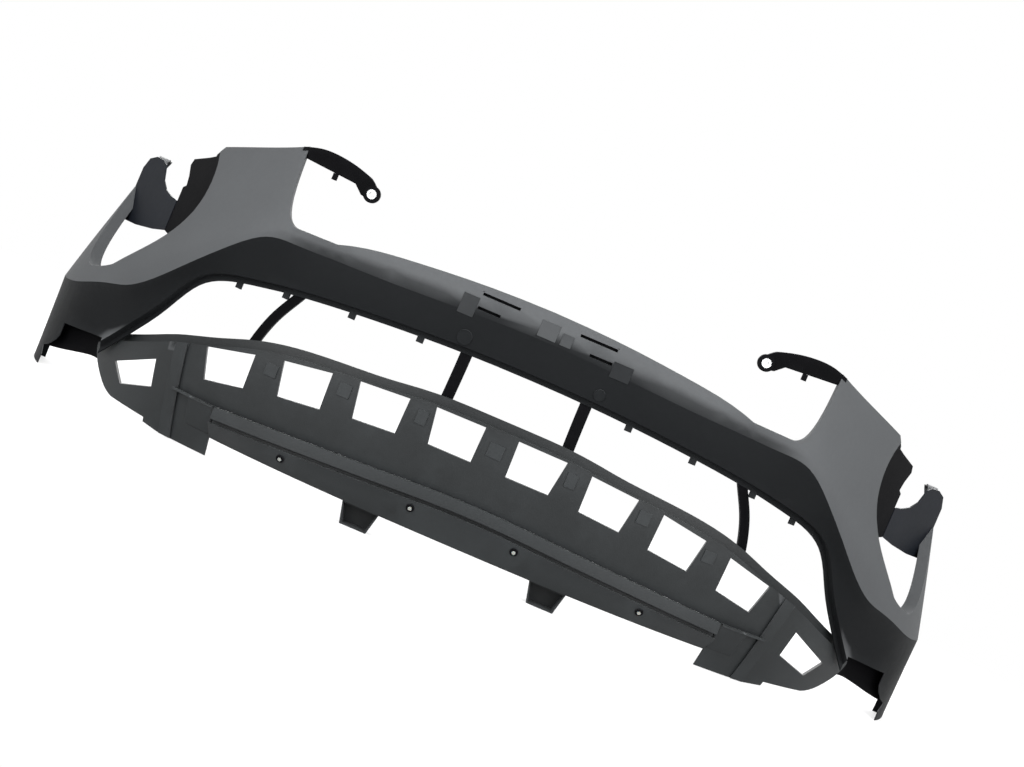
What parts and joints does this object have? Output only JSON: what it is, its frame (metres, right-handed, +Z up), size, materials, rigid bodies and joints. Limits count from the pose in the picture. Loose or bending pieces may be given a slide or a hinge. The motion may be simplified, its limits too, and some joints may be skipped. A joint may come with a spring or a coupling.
{
  "type": "bumper cover",
  "caption": "Front bumper cover shell with cheeks, lamp openings, an upper and a lower grille opening, a windowed lower cover and a standing air dam lip.",
  "frame": {"origin": "under the middle of the bounding box, on the surface that the lip tabs and wing feet stand on", "axes": "+X across the vehicle to the right of a viewer in front, -Y forward out of the bumper's face, +Z up"},
  "size_m": [1.8306, 0.7078, 0.5926],
  "materials": {
    "primed_plastic": "satin dark grey moulded polypropylene, ready for paint",
    "grained_plastic": "fine-grained black polypropylene",
    "black_plastic": "plain black moulded polypropylene",
    "nylon": "grey moulded nylon",
    "zinc_steel": "bright zinc-plated steel"
  },
  "bodies": {
    "cover": {"fascia": "primed_plastic", "lower_cover": "grained_plastic", "air_dam_lip": "grained_plastic", "inner_grille_stay_left": "black_plastic", "inner_grille_stay_right": "black_plastic", "outer_grille_stay_left": "black_plastic", "outer_grille_stay_right": "black_plastic", "upper_arm_left": "black_plastic", "upper_arm_right": "black_plastic", "lug_sleeve_left": "zinc_steel", "lug_sleeve_right": "zinc_steel", "lamp_bracket_left": "black_plastic", "lamp_bracket_right": "black_plastic", "closing_plate_left": "black_plastic", "closing_plate_right": "black_plastic", "end_flap_left": "black_plastic", "end_flap_right": "black_plastic", "retainer_outer_left": "nylon", "retainer_inner_left": "nylon", "retainer_inner_right": "nylon", "retainer_outer_right": "nylon"},
    "pin_outer_left": {"retainer_pin_outer_left": "nylon"},
    "pin_inner_left": {"retainer_pin_inner_left": "nylon"},
    "pin_inner_right": {"retainer_pin_inner_right": "nylon"},
    "pin_outer_right": {"retainer_pin_outer_right": "nylon"}
  },
  "joints": [
    {"name": "retainer_pin_outer_left_slide", "type": "slide", "parent": "cover", "child": "pin_outer_left", "axis": [-0.1812, -0.8019, -0.5693], "range_m": [0, 0.006]},
    {"name": "retainer_pin_inner_left_slide", "type": "slide", "parent": "cover", "child": "pin_inner_left", "axis": [-0.0255, -0.8941, -0.4472], "range_m": [0, 0.006]},
    {"name": "retainer_pin_inner_right_slide", "type": "slide", "parent": "cover", "child": "pin_inner_right", "axis": [0.0255, -0.8941, -0.4472], "range_m": [0, 0.006]},
    {"name": "retainer_pin_outer_right_slide", "type": "slide", "parent": "cover", "child": "pin_outer_right", "axis": [0.1812, -0.8019, -0.5693], "range_m": [0, 0.006]}
  ]
}
